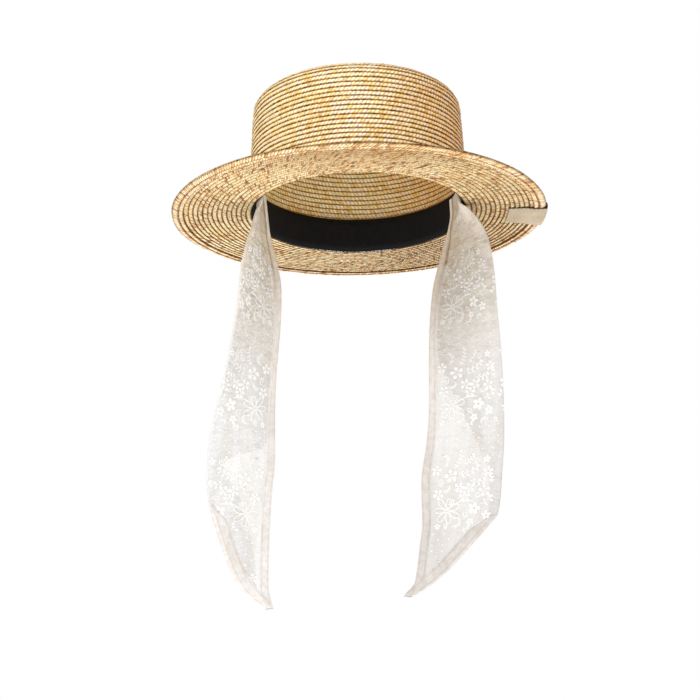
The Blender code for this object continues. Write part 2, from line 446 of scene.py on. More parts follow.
def braid_row(low, high, face, braid, rng):
    """One closed row of braid from its free edge to its hidden one.

    Low and high are profile points, (out, height), and face is the profile
    direction that the row shows to.
    """
    along = high - low
    middle = (low[0] + high[0]) / 2
    turns = np.linspace(0, TURN, OVAL_STEPS + 1)
    x = (CROWN_HALF_WIDTH + middle) * np.cos(turns)
    y = (CROWN_HALF_DEPTH + middle) * np.sin(turns)
    run = distances(np.column_stack([x, y]))
    strands = max(round(run[-1] / braid.strand), 10)
    places, swells = np.array(braid.columns).T
    number = (np.arange(strands)[:, None] + places).ravel()
    swell = (rng.uniform(0.65, 1.3, strands)[:, None] * swells).ravel()
    sway = np.repeat(rng.uniform(-1, 1, strands), len(places))
    wave = np.zeros(len(number))
    for cycles in rng.integers(3, 14, 4):
        wave += np.sin(TURN * (cycles * number / strands + rng.random())) / 2
    across, depth, share = np.array(braid.section).T
    depth = depth * MM
    lean = braid.lean * strands / run[-1]
    shifted = number[:, None] + lean * (across - 0.5) + rng.random()
    turn = np.interp((shifted % strands) / strands * run[-1], run, turns)
    edge = np.where((across < 0.1) | (across > 0.9), 1.0, 0.3)
    slide = (braid.scallop * (swell[:, None] - 0.5) + braid.wander * wave[:, None]) * edge
    reach = across - slide / np.linalg.norm(along)
    lift = depth + share * (braid.swell * swell + 0.08 * MM * sway)[:, None]
    out = low[0] + along[0] * reach + face[0] * lift
    height = low[1] + along[1] * reach + face[1] * lift
    points = round_body(out, turn, height)
    us = np.append(number, strands)
    from_far_edge = 0.25 + 0.74 * (0.75 - across)
    vs = np.append(np.where(depth < BACK_DEPTH, from_far_edge, across), 0.0)
    return points, us, vs


def make_braid(name, node, material, path, starts, braid, rng, pitch=ROW_PITCH, bare_end=False):
    """Rows of braid along a profile, each with its free edge over the one before.

    In the UV map a row's whole part is its number, and the rest says how far a
    point is across it. With a bare end no row hides the last one's far side.
    """
    work = Patchwork()
    for row, start in enumerate(starts):
        low, face = along_path(path, start)
        high, inner_face = along_path(path, start + pitch + ROW_LAP)
        high = high - inner_face * braid.tilt
        points, us, vs = braid_row(low, high, face, braid, rng)
        shown = BARE_SHARE if bare_end and row == len(starts) - 1 else 0.98
        work.add_grid(points, us, vs * shown + row + 0.01, wrap_rows=True, wrap_columns=True)
    put_on(work.finish(name), material, "straw_" + node, node)


def make_crown(material, rng):
    """Side and tip of the crown, in rope-like rows that lap downward."""
    path = crown_path()
    length = np.hypot(*np.diff(path, axis=0).T).sum()
    rows = round(length / ROW_PITCH)
    starts = np.arange(rows) * length / rows
    side_rows = round((CROWN_TOP - CROWN_EDGE_RADIUS) / ROW_PITCH)
    make_braid("crown_side", "crown", material, path, starts[:side_rows], ROPE, rng)
    make_braid("crown_tip", "crown", material, path, starts[side_rows:], ROPE, rng, bare_end=True)


def make_brim(material, edge_material, rng):
    """The brim's rows, seen best from below, and the doubled band at its edge."""
    path = np.array([(-STRAW, BRIM_LEVEL), (BRIM_WIDTH + ROW_LAP, BRIM_LEVEL)])
    rows = round((BRIM_WIDTH + STRAW) / ROW_PITCH)
    pitch = (BRIM_WIDTH - ROW_LAP + STRAW) / rows
    starts = np.arange(rows) * pitch
    half = rows // 2
    straw = ("brim", material, path)
    make_braid("brim_inner_rows", *straw, starts[:half], PLAIT, rng, pitch)
    make_braid("brim_outer_rows", *straw, starts[half:], PLAIT, rng, pitch, bare_end=True)
    below = -BAND_DROP - BRIM_LEVEL
    path = np.array([(BRIM_WIDTH - BAND_WIDTH, below), (BRIM_WIDTH + ROW_LAP, below)])
    band_pitch = (BAND_WIDTH - ROW_LAP) / BAND_ROWS
    starts = np.arange(BAND_ROWS) * band_pitch
    straw = ("brim", edge_material, path)
    make_braid("brim_edge_band", *straw, starts, EDGE_PLAIT, rng, band_pitch, bare_end=True)


# Sweatband and label


def make_sweatband(material):
    """Ribbed black ribbon inside the crown's foot."""
    heights = np.linspace(RIBBON_BOTTOM, RIBBON_TOP, 6)
    outer = [(wall_out(h) - STRAW - GAP, h, 0.0) for h in heights]
    inner = [(wall_out(h) - STRAW - GAP - RIBBON, h, 1.0) for h in heights[::-1]]
    profile = np.array(outer + inner)
    ribs = round(TURN * (CROWN_HALF_WIDTH + CROWN_HALF_DEPTH) / 2 / RIB_PITCH)
    number = np.arange(ribs * 2) / 2
    turn = TURN * number / ribs
    rib = np.where(number % 1 == 0, RIB_HEIGHT, 0.0)
    out = profile[:, 0] + rib[:, None] * profile[:, 2]
    points = round_body(out, turn[:, None], np.broadcast_to(profile[:, 1], out.shape))
    work = Patchwork()
    us = np.append(number, ribs)
    vs = np.append(profile[:, 1], profile[0, 1]) / MM
    work.add_grid(points, us, vs, wrap_rows=True, wrap_columns=True)
    put_on(work.finish("sweatband_ribbon"), material, "ribbon", "sweatband")


def tape_profile():
    """Middle line of the folded tape: in from below, round the edge and back above."""
    inner = BRIM_WIDTH - TAPE_REACH
    below = -BAND_DROP - GAP - TAPE / 2
    above = STRAW + GAP + TAPE / 2
    radius = (above - below) / 2
    beside_band = BRIM_WIDTH - BAND_WIDTH
    line = []
    for out in np.linspace(inner, BRIM_WIDTH, 24):
        rise = np.interp(out, (beside_band - TAPE_SLOPE, beside_band), (TAPE_RISE, 0.0))
        line.append((out, below + rise))
    for angle in np.linspace(-math.pi / 2, math.pi / 2, 11)[1:-1]:
        line.append((
            BRIM_WIDTH + radius * TAPE_BEND * math.cos(angle),
            (above + below) / 2 + radius * math.sin(angle),
        ))
    line += [(out, above) for out in np.linspace(BRIM_WIDTH, inner, 24)]
    return np.array(line)


def make_label(material):
    """Blank woven tape over the brim's edge."""
    line = tape_profile()
    step = np.gradient(line, axis=0)
    step /= np.linalg.norm(step, axis=1)[:, None]
    normal = np.stack([step[:, 1], -step[:, 0]], axis=1)
    half = TAPE / 2 * TAPE_FULLNESS
    loop = np.concatenate([line + normal * half, (line - normal * half)[::-1]])
    run = distances(line) / MM
    vs = np.concatenate([run, run[::-1], run[:1]])
    columns = 28
    half_depth = CROWN_HALF_DEPTH + BRIM_WIDTH
    alongs = TAPE_MIDDLE_Y + TAPE_LENGTH * (np.linspace(0, 1, columns + 1) - 0.5)
    turn = np.arcsin(alongs / half_depth)
    pucker = TAPE_PUCKER * np.sin(alongs / MM * 0.9)[:, None] * np.sin(vs[:-1] * 0.35)
    height = loop[:, 1] + pucker
    points = round_body(np.broadcast_to(loop[:, 0], height.shape), turn[:, None], height)
    work = Patchwork()
    work.add_grid(points, alongs / MM, vs, wrap_columns=True)
    put_on(work.finish("label_tape"), material, "tape", "label")


# Lace ties


def blend(sections, height):
    """The section at any height in millimetres, on a smooth curve."""
    last = len(sections) - 1
    k = max(i for i in range(last) if i == 0 or sections[i].height >= height)
    span = sections[k + 1].height - sections[k].height
    t = (height - sections[k].height) / span

    def slope(i, column):
        before = sections[max(i - 1, 0)]
        after = sections[min(i + 1, last)]
        return (after[column] - before[column]) / (after.height - before.height)

    values = []
    for column in range(len(sections[0])):
        start, end = sections[k][column], sections[k + 1][column]
        rise, fall = slope(k, column) * span, slope(k + 1, column) * span
        values.append(
            start * (1 + 2 * t) * (1 - t) ** 2
            + rise * t * (1 - t) ** 2
            + end * t * t * (3 - 2 * t)
            - fall * t * t * (1 - t)
        )
    return Section(*values)


def tie_line(section, side):
    """Points of the folded cloth at one height, and its width, in metres."""
    height = section.height * MM
    hem = np.array((section.hem_x, section.hem_y)) * MM
    outer = np.array((section.outer_x, section.outer_y)) * MM
    width = np.linalg.norm(outer - hem)
    across = (outer - hem) / width
    behind = np.array((-across[1], across[0])) * side
    fade = min(max((RIPPLE_START - height) / (RIPPLE_START - RIPPLE_FULL), 0.0), 1.0)
    swing = RIPPLE * fade * min(width / RIPPLE_WIDTH, 1.0)
    pleat = PLEAT * np.interp(-height, PLEAT_DEPTHS, (0.0, 1.0, 1.0, 0.0))

    def front(distance):
        part = distance / width
        bulge = section.bow * MM * 4 * part * (1 - part)
        turn = TURN * (distance / RIPPLE_LENGTH + height / RIPPLE_DRIFT)
        tuck = pleat * np.exp(-((distance - PLEAT_PLACE) / PLEAT_WIDTH) ** 2)
        return hem + np.outer(distance, across) + np.outer(bulge + swing * np.sin(turn) + tuck, behind)

    ahead = front(np.linspace(0, width, FRONT_STEPS + 1))
    radius = LAYER_PITCH / 2
    angle = np.radians(FOLD_ANGLES)
    centre = ahead[-1] + behind * radius
    fold = centre + np.outer(radius * np.cos(angle), across) + np.outer(radius * np.sin(angle), behind)
    back = front(width - np.linspace(0, section.back * MM, BACK_STEPS + 1)) + behind * LAYER_PITCH
    line = np.concatenate([ahead, fold, back])
    return np.column_stack([line, np.full(len(line), height)]), width


class Cloth:
    """One hanging strip: a grid of points with its cloth distances and normals."""

    def __init__(self, sections, side):
        top, bottom = sections[0].height, sections[-1].height
        rows = round((top - bottom) / CLOTH_ROW_STEP)
        self.heights = np.linspace(top, bottom, rows + 1)
        lines = [tie_line(blend(sections, h), side) for h in self.heights]
        self.points = np.array([line for line, width in lines])
        self.widths = np.array([width for line, width in lines]) / MM
        steps = np.linalg.norm(np.diff(self.points, axis=1), axis=2)
        run = np.cumsum(steps, axis=1) / MM
        self.run = np.concatenate([np.zeros((rows + 1, 1)), run], axis=1)
        down = np.gradient(self.points, axis=0)
        over = np.gradient(self.points, axis=1)
        normals = np.cross(over, down) * side
        self.normals = normals / np.linalg.norm(normals, axis=2)[:, :, None]

    def front_width(self, height):
        return np.interp(-height, -self.heights, self.widths)

    def full_width(self, height):
        return np.interp(-height, -self.heights, self.run[:, -1])

    def place(self, across, height, lift):
        """Points on the cloth, from millimetres across and height, raised by lift."""
        top, bottom = self.heights[0], self.heights[-1]
        rows = np.clip((top - height) / (top - bottom), 0, 1) * (len(self.heights) - 1)
        out = np.empty((len(across), 3))
        for i, (u, row, rise) in enumerate(zip(across, rows, lift)):
            low = min(int(row), len(self.heights) - 2)
            share = row - low
            total = np.zeros(3)
            for k, weight in ((low, 1 - share), (low + 1, share)):
                column = np.interp(u, self.run[k], np.arange(self.run.shape[1]))
                j = min(int(column), self.run.shape[1] - 2)
                f = column - j
                point = self.points[k, j] * (1 - f) + self.points[k, j + 1] * f
                normal = self.normals[k, j] * (1 - f) + self.normals[k, j + 1] * f
                total += weight * (point + normal * rise * MM)
            out[i] = total
        return out

    def make_net(self, name):
        """The strip's own mesh, with millimetres across and height as its UV map."""
        rows, columns = self.run.shape
        i, j = np.meshgrid(np.arange(rows - 1), np.arange(columns - 1), indexing="ij")
        first = (i * columns + j).ravel()
        quads = np.stack([first, first + columns, first + columns + 1, first + 1], axis=1)
        places = np.column_stack([self.run.ravel(), np.repeat(self.heights, columns)])
        return fill_mesh(name, self.points.reshape(-1, 3), quads, places[quads.ravel()])


class Needlework:
    """Raised threads and pads placed on one cloth, gathered into one mesh."""

    def __init__(self, cloth):
        self.cloth = cloth
        self.work = Patchwork()

    def pad(self, across, height, long_radius, short_radius, turn, lift=0.34, base=0.0):
        """A domed oval of satin stitches on both faces of the lace."""
        around = np.arange(PAD_SIDES) / PAD_SIDES * TURN
        grid = []
        for part, rise in PAD_RINGS:
            a = long_radius * part * np.cos(around)
            b = short_radius * part * np.sin(around)
            u, z = swung(across, height, a, b, turn)
            grid.append(self.cloth.place(u, z, np.full(len(a), rise * lift + base)))
        points = np.array(grid).transpose(1, 0, 2)
        us = np.append(around, TURN)
        vs = np.linspace(0, 1, len(PAD_RINGS))
        self.work.add_grid(points, us, vs, wrap_rows=True)

    def stitch(self, across, height, turn):
        """One short stitch on a hem."""
        self.pad(across, height, *STITCH, turn, lift=STITCH_LIFT, base=HEM_LIFT)

    def thread(self, across, height, radius, closed=False):
        """A round cord laid along a line of places on the cloth."""
        line = np.column_stack([across, height])
        if closed:
            step = np.roll(line, -1, axis=0) - np.roll(line, 1, axis=0)
        else:
            step = np.gradient(line, axis=0)
        step /= np.linalg.norm(step, axis=1)[:, None]
        sideways = np.column_stack([-step[:, 1], step[:, 0]])
        grid = []
        for angle in np.arange(5) / 5 * TURN:
            place = line + sideways * radius * math.cos(angle)
            lift = np.full(len(line), 0.8 * radius * math.sin(angle))
            grid.append(self.cloth.place(place[:, 0], place[:, 1], lift))
        points = np.array(grid).transpose(1, 0, 2)
        us = np.arange(len(line) + 1, dtype=float)
        vs = np.arange(6) / 5
        self.work.add_grid(points, us, vs, wrap_rows=closed, wrap_columns=True)


# Lace motifs, each drawn round its own centre


def draw_outline(needle, across, height, turn, a, b, radius=0.42):
    """A closed cord through places given as swung takes them."""
    needle.thread(*swung(across, height, a, b, turn), radius, closed=True)


def draw_flower(needle, across, height, size, turn, ring):
    petals = 5
    hole = size * (0.30 if ring else 0.05)
    for k in range(petals):
        angle = turn + TURN * k / petals
        long_radius = (size - hole) * 0.50
        place = turned(across, height, hole + long_radius * 0.98, angle)
        needle.pad(*place, long_radius, size * 0.34, angle)
    if ring:
        around = np.arange(8) / 8 * TURN
        draw_outline(needle, across, height, 0.0, hole * np.cos(around), hole * np.sin(around))


def draw_daisy(needle, across, height, size, turn):
    petals = 7
    for k in range(petals):
        angle = turn + TURN * k / petals
        around = np.arange(10) / 10 * TURN
        length = size * (0.92 if k % 2 else 1.05) / 2
        middle = turned(across, height, length + 1.2, angle)
        a, b = length * np.cos(around), size * 0.20 * np.sin(around) * (1.1 + 0.35 * np.cos(around))
        draw_outline(needle, *middle, angle, a, b, 0.48)
        needle.pad(*turned(across, height, 1.5, angle), 0.55, 0.55, 0.0)
    needle.pad(across, height, 0.8, 0.8, 0.0)


def draw_sprig(needle, across, height, size, turn, leaf):
    """A curved stem with pairs of leaves, like a ladder."""
    part = np.linspace(0, 1, 7)
    bend = turn + 0.45 * (part - 0.5)
    u = across + size * part * np.cos(bend)
    z = height + size * part * np.sin(bend)
    needle.thread(u, z, 0.34)
    pairs = max(round(size / (leaf * 2.1)), 2)
    for k in range(pairs):
        share = (k + 0.6) / pairs
        place = turned(across, height, size * share, turn + 0.45 * (share - 0.5))
        for hand in (-1, 1):
            angle = turn + hand * math.radians(56)
            needle.pad(*turned(*place, leaf, angle), leaf, leaf * 0.48, angle)
    needle.pad(*turned(across, height, size * 1.06, turn + 0.22), leaf * 0.9, leaf * 0.5, turn)


def draw_crescent(needle, across, height, size, turn):
    """A bent leaf: an outline filled with a row of satin pads."""
    outer = np.radians(np.linspace(-105, 105, 8))
    inner = np.radians(np.linspace(80, -80, 5))
    a = np.concatenate([np.cos(outer), 0.42 + 0.20 * np.cos(inner)]) * size
    b = np.concatenate([np.sin(outer), 0.62 * np.sin(inner)]) * size
    draw_outline(needle, across, height, turn, a - 0.4 * size, b)
    for angle in np.radians((-50, 0, 50)):
        place = turned(across, height, -0.4 * size, turn)
        place = turned(*place, 0.80 * size, turn + angle)
        needle.pad(*place, size * 0.26, size * 0.13, turn + angle + math.pi / 2)


def draw_leaf(needle, across, height, size, turn):
    """A pointed leaf from its stalk: an outline with satin on each side of a vein."""
    part = np.array((0.0, 0.2, 0.45, 0.75, 1.0, 0.75, 0.45, 0.2))
    wide = np.array((0.0, 0.17, 0.24, 0.16, 0.0, -0.16, -0.24, -0.17))
    draw_outline(needle, across, height, turn, part * size, wide * size)
    for share in (0.28, 0.62):
        for hand in (-1, 1):
            place = turned(across, height, share * size, turn + hand * 0.16)
            needle.pad(*place, size * 0.15, size * 0.06, turn + hand * 0.5)


def draw_stem(needle, across, height, size, turn):
    part = np.linspace(0, 1, 9)
    u, z = turned(across, height, size * part, turn)
    needle.thread(u, z + 2.4 * np.sin(part * math.pi), 0.50)


# Each kind of motif with its function and its settings
MOTIF_KINDS = {
    "ring flower": (draw_flower, {"ring": True}),
    "solid flower": (draw_flower, {"ring": False}),
    "daisy": (draw_daisy, {}),
    "sprig": (draw_sprig, {"leaf": SPRIG_LEAF}),
    "branch": (draw_sprig, {"leaf": BRANCH_LEAF}),
    "leaf": (draw_leaf, {}),
    "crescent": (draw_crescent, {}),
    "stem": (draw_stem, {}),
}


def on_open_net(cloth, across, height, margin):
    """Whether a place is on bare net, this far inside the hems and the fold."""
    if height > EMBROIDERY_TOP or height < cloth.heights[-1] + margin:
        return False
    front = cloth.front_width(height)
    below = cloth.front_width(height - margin)
    on_front = HEM + margin < across < min(front, below) - margin - 1
    on_back = front + LAYER_PITCH / MM + margin < across < cloth.full_width(height) - HEM - margin
    return on_front or on_back


def embroider(name, cloth, material):
    """Flowers, leaves and dots in repeats down the strip, mirrored at its fold."""
    needle = Needlework(cloth)
    repeats = math.ceil((FIRST_REPEAT - cloth.heights[-1]) / REPEAT)
    for repeat in range(repeats):
        top = FIRST_REPEAT - repeat * REPEAT
        for motif in CHART:
            for mirror in (False, True):
                across = 2 * CHART_WIDTH - motif.across if mirror else motif.across
                turn = math.radians(180 - motif.turn if mirror else motif.turn)
                height = top - motif.down
                if on_open_net(cloth, across, height, motif.size * 0.25):
                    draw, settings = MOTIF_KINDS[motif.kind]
                    draw(needle, across, height, motif.size, turn, **settings)
        for k, row in enumerate(DOT_ROWS):
            for j in range(int(2 * CHART_WIDTH / DOT_PITCH)):
                across = DOT_FIRST + DOT_PITCH * (j + k % 2 / 2)
                height = top - row
                if on_open_net(cloth, across, height, DOT_RADIUS + 0.6):
                    needle.pad(across, height, DOT_RADIUS, DOT_RADIUS, 0.0)
    return put_on(needle.work.finish(name), material, "lace")


def edge_strip(work, cloth, heights, edge, inward, half_section, lift):
    """A flat closed hem between an edge line and a line this far inward."""
    section = half_section + tuple((part, -share) for part, share in half_section[:0:-1])
    grid = []
    for part, share in section:
        across = edge + inward * part
        grid.append(cloth.place(across, heights, np.full(len(heights), share * lift)))
    points = np.array(grid).transpose(1, 0, 2)
    us = heights.astype(float)
    vs = np.array([part * HEM for part, share in section + section[:1]])
    work.add_grid(points, us, vs, wrap_columns=True)


def hem_width(height):
    """The front hem is narrower toward the top of the tie."""
    return np.interp(height, HEM_HEIGHTS, (HEM, HIGH_HEM))


def make_hems(name, cloth, cut_start, material):
    """Turned hems down both long edges and up the slanting cut end."""
    work = Patchwork()
    top, bottom = cloth.heights[0], cloth.heights[-1] + END_INSET
    heights = np.linspace(top, bottom, round((top - bottom) / HEM_ROW_STEP) + 1)
    front = cloth.front_width(heights)
    inward = np.minimum(hem_width(heights), front * 0.9)
    edge_strip(work, cloth, heights, np.zeros(len(heights)), inward, HEM_SECTION, HEM_LIFT)
    full = cloth.full_width(heights)
    back = full - front
    slope = np.abs(np.gradient(full, heights))
    inward = -np.minimum(HEM * np.sqrt(1 + slope ** 2), np.maximum(back - LAYER_PITCH / MM, 2.0))
    edge_strip(work, cloth, heights, full, inward, HEM_SECTION, HEM_LIFT)
    low = heights[heights < cut_start]
    front = cloth.front_width(low)
    slope = np.abs(np.gradient(front, low))
    width = CUT_HEM * np.clip((cut_start - low) / CUT_TAPER, 0.1, 1.0)
    inward = -np.minimum(width * np.sqrt(1 + slope ** 2), front * 0.9)
    edge_strip(work, cloth, low, front, inward, CUT_SECTION, CUT_LIFT)
    return put_on(work.finish(name), material, "lace")


def sew_stitches(name, cloth, cut_start, material):
    """A running stitch along the inner side of each hem on the front."""
    needle = Needlework(cloth)
    for height in np.arange(cloth.heights[0] - 3, cloth.heights[-1] + 12, -STITCH_PITCH):
        if cloth.front_width(height) > 2 * HEM:
            needle.stitch(hem_width(height) - STITCH_INSET, height, math.pi / 2)
    heights = np.arange(cut_start - CUT_TAPER, cloth.heights[-1] + 12, -STITCH_PITCH * 0.7)
    front = cloth.front_width(heights)
    slope = np.gradient(front, heights)
    for height, width, lean in zip(heights, front, slope):
        inward = (CUT_HEM - STITCH_INSET) * math.sqrt(1 + lean * lean)
        if width > inward + 1.5 * HEM:
            needle.stitch(width - inward, height, math.atan2(1.0, lean))
    return put_on(needle.work.finish(name), material, "lace")


def make_tie(side_name, sections, side, cut_start, net, satin, linen):
    """One tie: its net, hems, embroidery and stitches."""
    cloth = Cloth(sections, side)
    name = "tie_" + side_name
    sheet = put_on(cloth.make_net(name + "_net"), net, "lace", name)
    hems = make_hems(name + "_hems", cloth, cut_start, linen)
    flowers = embroider(name + "_embroidery", cloth, satin)
    stitches = sew_stitches(name + "_stitches", cloth, cut_start, satin)


# Materials


class Nodes:
    """Short calls for building one material's node tree."""

    def __init__(self, name):
        self.material = bpy.data.materials.new(name)
        self.material.use_nodes = True
        self.tree = self.material.node_tree
        self.shader = self.tree.nodes["Principled BSDF"]

    def add(self, kind, *inputs, **settings):
        """A new node with these inputs in order; a socket is linked, None is left."""
        item = self.tree.nodes.new("ShaderNode" + kind)
        for key, value in settings.items():
            setattr(item, key, value)
        for socket, value in zip(item.inputs, inputs):
            self.feed(socket, value)
        return item

    def feed(self, socket, value):
        if isinstance(value, bpy.types.NodeSocket):
            self.tree.links.new(value, socket)
        elif value is not None:
            socket.default_value = value

    def fill(self, item, **values):
        """Feed a node's inputs by name, with _ for a space."""
        for name, value in values.items():
            self.feed(item.inputs[name.replace("_", " ")], value)

    def math(self, operation, *inputs):
        return self.add("Math", *inputs, operation=operation).outputs[0]

    def uv(self):
        """The two UV distances as separate sockets."""
        split = self.add("SeparateXYZ", self.add("UVMap").outputs["UV"])
        return split.outputs[0], split.outputs[1]

    def join(self, x, y):
        return self.add("CombineXYZ", x, y).outputs[0]

    def ramp(self, factor, *stops):
        """A colour ramp from (place, colour) stops."""
        item = self.add("ValToRGB", factor)
        elements = item.color_ramp.elements
        while len(elements) < len(stops):
            elements.new(0.5)
        for element, (place, colour) in zip(elements, stops):
            element.position = place
            element.color = (*colour, 1.0)
        return item.outputs["Color"]

    def span(self, value, low, high, start=0.0, end=1.0):
        """A value's place between low and high, as a number from start to end."""
        return self.add("MapRange", value, low, high, start, end).outputs[0]

    def mix(self, factor, first, second, blend="MIX"):
        item = self.add("Mix", data_type="RGBA", blend_type=blend)
        for socket, value in zip((0, 6, 7), (factor, first, second)):
            self.feed(item.inputs[socket], value)
        return item.outputs[2]

    def times(self, base, tint, share=1.0):
        """A colour multiplied by a tint, or this share of the way toward that."""
        return self.mix(share, base, tint, "MULTIPLY")

    def place(self):
        """The point on the object, in metres."""
        return self.add("TexCoord").outputs["Object"]

    def noise(self, vector, scale, detail):
        item = self.add("TexNoise")
        self.fill(item, Vector=vector, Scale=scale, Detail=detail)
        return item.outputs["Fac"]

    def grain(self, across, along, detail):
        """Noise over the UV map, with its own scale each way."""
        u, v = self.uv()
        vector = self.join(self.math("MULTIPLY", u, across), self.math("MULTIPLY", v, along))
        return self.noise(vector, 1.0, detail)

    def bump(self, height, distance, strength, before=None):
        item = self.add("Bump")
        self.fill(item, Strength=strength, Distance=distance, Height=height, Normal=before)
        return item.outputs["Normal"]

    def surface(self, colour, roughness, normal=None, **sockets):
        self.fill(self.shader, Base_Color=colour, Roughness=roughness, Normal=normal, **sockets)
        return self.material


def straw_material(name, tones, patchy, specked, crevice_shade, amber, strand_edge_shade, left, right, front):
    """Straw of mixed strands, with fibres, painted shade toward each strand's edges, and broken painted
    shade in the gaps between rows.

    Patchy is how far neighbouring strands share a tone, and specked how strong
    the fine dark specks are. Left, right and front are painted light and shade:
    tints that darken and warm those sides as the light falls on them.
    """
    n = Nodes(name)
    u, v = n.uv()
    strand = n.join(n.math("FLOOR", u), n.math("FLOOR", v))
    chance = n.add("TexWhiteNoise", strand, noise_dimensions="2D")
    drift = n.grain(0.45, 1.7, 2.0)
    luck = n.span(drift, 0.3, 0.7, -patchy, patchy)
    base = n.ramp(n.math("ADD", chance.outputs["Value"], luck), *tones)
    place = n.place()
    patch = n.ramp(n.noise(place, 22.0, 3.0), (0.30, (0.94, 0.88, 0.78)), (0.60, WHITE))
    base = n.times(base, patch)
    x, y, z = n.add("SeparateXYZ", place).outputs
    # Painted light and shade: each side, and the front, is tinted as the lamps fall on it
    sideways = n.span(x, -0.09, 0.10)
    base = n.times(base, n.ramp(sideways, (0.0, left), (0.48, WHITE), (1.0, right)))
    forward = n.span(y, -0.150, -0.098)
    base = n.times(base, n.ramp(forward, (0.0, front), (1.0, WHITE)))
    fibres = n.grain(9.0, 1.6, 3.0)
    streak = n.ramp(fibres, (0.30, (0.62, 0.49, 0.30)), (0.46, WHITE))
    base = n.times(base, streak)
    # Painted shade: each strand darkens toward its edges, which rounds it
    between = n.ramp(n.math("FRACT", u), (0.0, strand_edge_shade), (0.30, WHITE), (0.72, WHITE), (1.0, strand_edge_shade))
    base = n.times(base, between)
    specks = n.ramp(n.noise(place, 620.0, 1.0), (0.36, (0.36, 0.19, 0.08)), (0.46, WHITE))
    base = n.times(base, specks, specked)
    # Painted shade in the gaps between rows, standing also for the sewing thread's line; noise breaks it
    # into dark and amber stretches
    breaks = n.grain(0.9, 3.1, 2.0)
    line = n.ramp(breaks, (0.40, crevice_shade), (0.62, amber))
    depth = n.ramp(
        n.math("FRACT", v),
        (0.00, WHITE),
        (0.10, GREY),
        (0.19, BLACK),
        (0.52, BLACK),
        (0.63, GREY),
        (0.73, WHITE),
    )
    # Less of this painted shade near the crown's tip, where the rows turn edge-on
    tip_shade_fade = n.span(z, 0.080, 0.094, 1.0, 0.45)
    depth = n.math("MULTIPLY", depth, tip_shade_fade)
    base = n.times(base, line, depth)
    normal = n.bump(fibres, 0.25 * MM, 0.8)
    rough = n.span(fibres, 0.3, 0.7, 0.50, 0.32)
    return n.surface(base, rough, normal, Specular_IOR_Level=0.25)


def ribbon_material():
    n = Nodes("grosgrain_black")
    ribs = n.math("PINGPONG", n.uv()[0], 0.5)
    tone = n.ramp(ribs, (0.0, (0.002, 0.002, 0.0025)), (1.0, (0.010, 0.010, 0.012)))
    normal = n.bump(ribs, 0.2 * MM, 0.6)
    return n.surface(tone, 0.8, normal, Specular_IOR_Level=0.2)


def tape_material():
    """Woven cream tape: fine crossing threads and faint soiling."""
    n = Nodes("woven_tape")
    u, v = n.uv()
    warp = n.math("SINE", n.math("MULTIPLY", u, 9.0))
    weft = n.math("SINE", n.math("MULTIPLY", v, 11.0))
    weave = n.math("MULTIPLY", warp, weft)
    tone = n.ramp(n.noise(n.place(), 60.0, 3.0), (0.3, (0.60, 0.50, 0.36)), (0.7, (0.76, 0.66, 0.51)))
    threads = n.ramp(weave, (0.0, (0.74, 0.70, 0.64)), (1.0, WHITE))
    base = n.times(tone, threads)
    beside = n.math("ABSOLUTE", n.math("SUBTRACT", u, LABEL_SEAM))
    dash = n.math("GREATER_THAN", n.math("SINE", n.math("MULTIPLY", v, 1.9)), -0.2)
    sewn = n.math("MULTIPLY", n.math("LESS_THAN", beside, 0.5), dash)
    base = n.mix(sewn, base, (0.26, 0.18, 0.11, 1.0))
    normal = n.bump(weave, 0.14 * MM, 0.9)
    return n.surface(base, 0.7, normal)


def hexagon_edge(n, u, v, cell):
    """Distance from the nearest edge of a honeycomb, 0 on it and 0.5 at a cell's middle."""
    wide, tall = cell, cell * math.sqrt(3)

    def beside(distance, cycle, shift):
        within = n.math("FLOORED_MODULO", n.math("ADD", distance, shift * cycle), cycle)
        return n.math("DIVIDE", n.math("ABSOLUTE", n.math("SUBTRACT", within, cycle / 2)), wide)

    choices = []
    for shift in (0.0, 0.5):
        x, y = beside(u, wide, shift), beside(v, tall, shift)
        slant = n.math("ADD", n.math("MULTIPLY", x, 0.5), n.math("MULTIPLY", y, math.sqrt(0.75)))
        choices.append(n.math("MAXIMUM", x, slant))
    return n.math("SUBTRACT", 0.5, n.math("MINIMUM", *choices))


def shade_right_tie(n, tone):
    """Painted shade: the right tie is darkened against the left one, most of all at its lower end."""
    x, _, z = n.add("SeparateXYZ", n.place()).outputs
    right = n.math("GREATER_THAN", x, 0.0)
    right_shade = n.ramp(n.span(z, -0.26, -0.14), (0.0, (0.82, 0.805, 0.79)), (1.0, (0.95, 0.95, 0.95)))
    return n.times(tone, right_shade, right)


def net_material():
    """Cotton tulle: a honeycomb of fine threads that lets light through."""
    n = Nodes("cotton_tulle")
    u, v = n.uv()
    edge = hexagon_edge(n, u, v, NET_CELL)
    thread = n.span(edge, 0.13, 0.20, 1.0, 0.0)
    bands = n.grain(0.10, 0.014, 3.0)
    tone = n.ramp(
        bands,
        (0.34, (0.70, 0.67, 0.635)),
        (0.50, (0.74, 0.73, 0.72)),
        (0.66, (0.78, 0.77, 0.765)),
    )
    # Warmer and slightly darker toward the top: partly the cloth's ageing, partly painted shade under the
    # brim
    aged_and_shaded = n.span(v, -150.0, -20.0)
    tone = n.times(tone, (1.06, 0.97, 0.84, 1.0), aged_and_shaded)
    toward_fold = n.span(u, 22.0, 46.0)
    tone = n.times(tone, (1.05, 1.06, 1.08, 1.0), toward_fold)
    # Painted shadow of a fold: a brown line beside the front hem, only high on the tie
    fold_shade = n.ramp(
        n.math("DIVIDE", u, 40.0),
        (0.122, WHITE),
        (0.152, (0.60, 0.47, 0.35)),
        (0.190, (0.72, 0.60, 0.48)),
        (0.260, WHITE),
    )
    high = n.span(v, -80.0, -30.0)
    tone = n.times(tone, fold_shade, high)
    alpha = n.span(thread, 0.0, 1.0, 0.64, 1.0)
    creases = n.grain(0.06, 0.10, 4.0)
    normal = n.bump(creases, 5 * MM, 0.9)
    return n.surface(shade_right_tie(n, tone), 0.85, normal, Alpha=alpha)


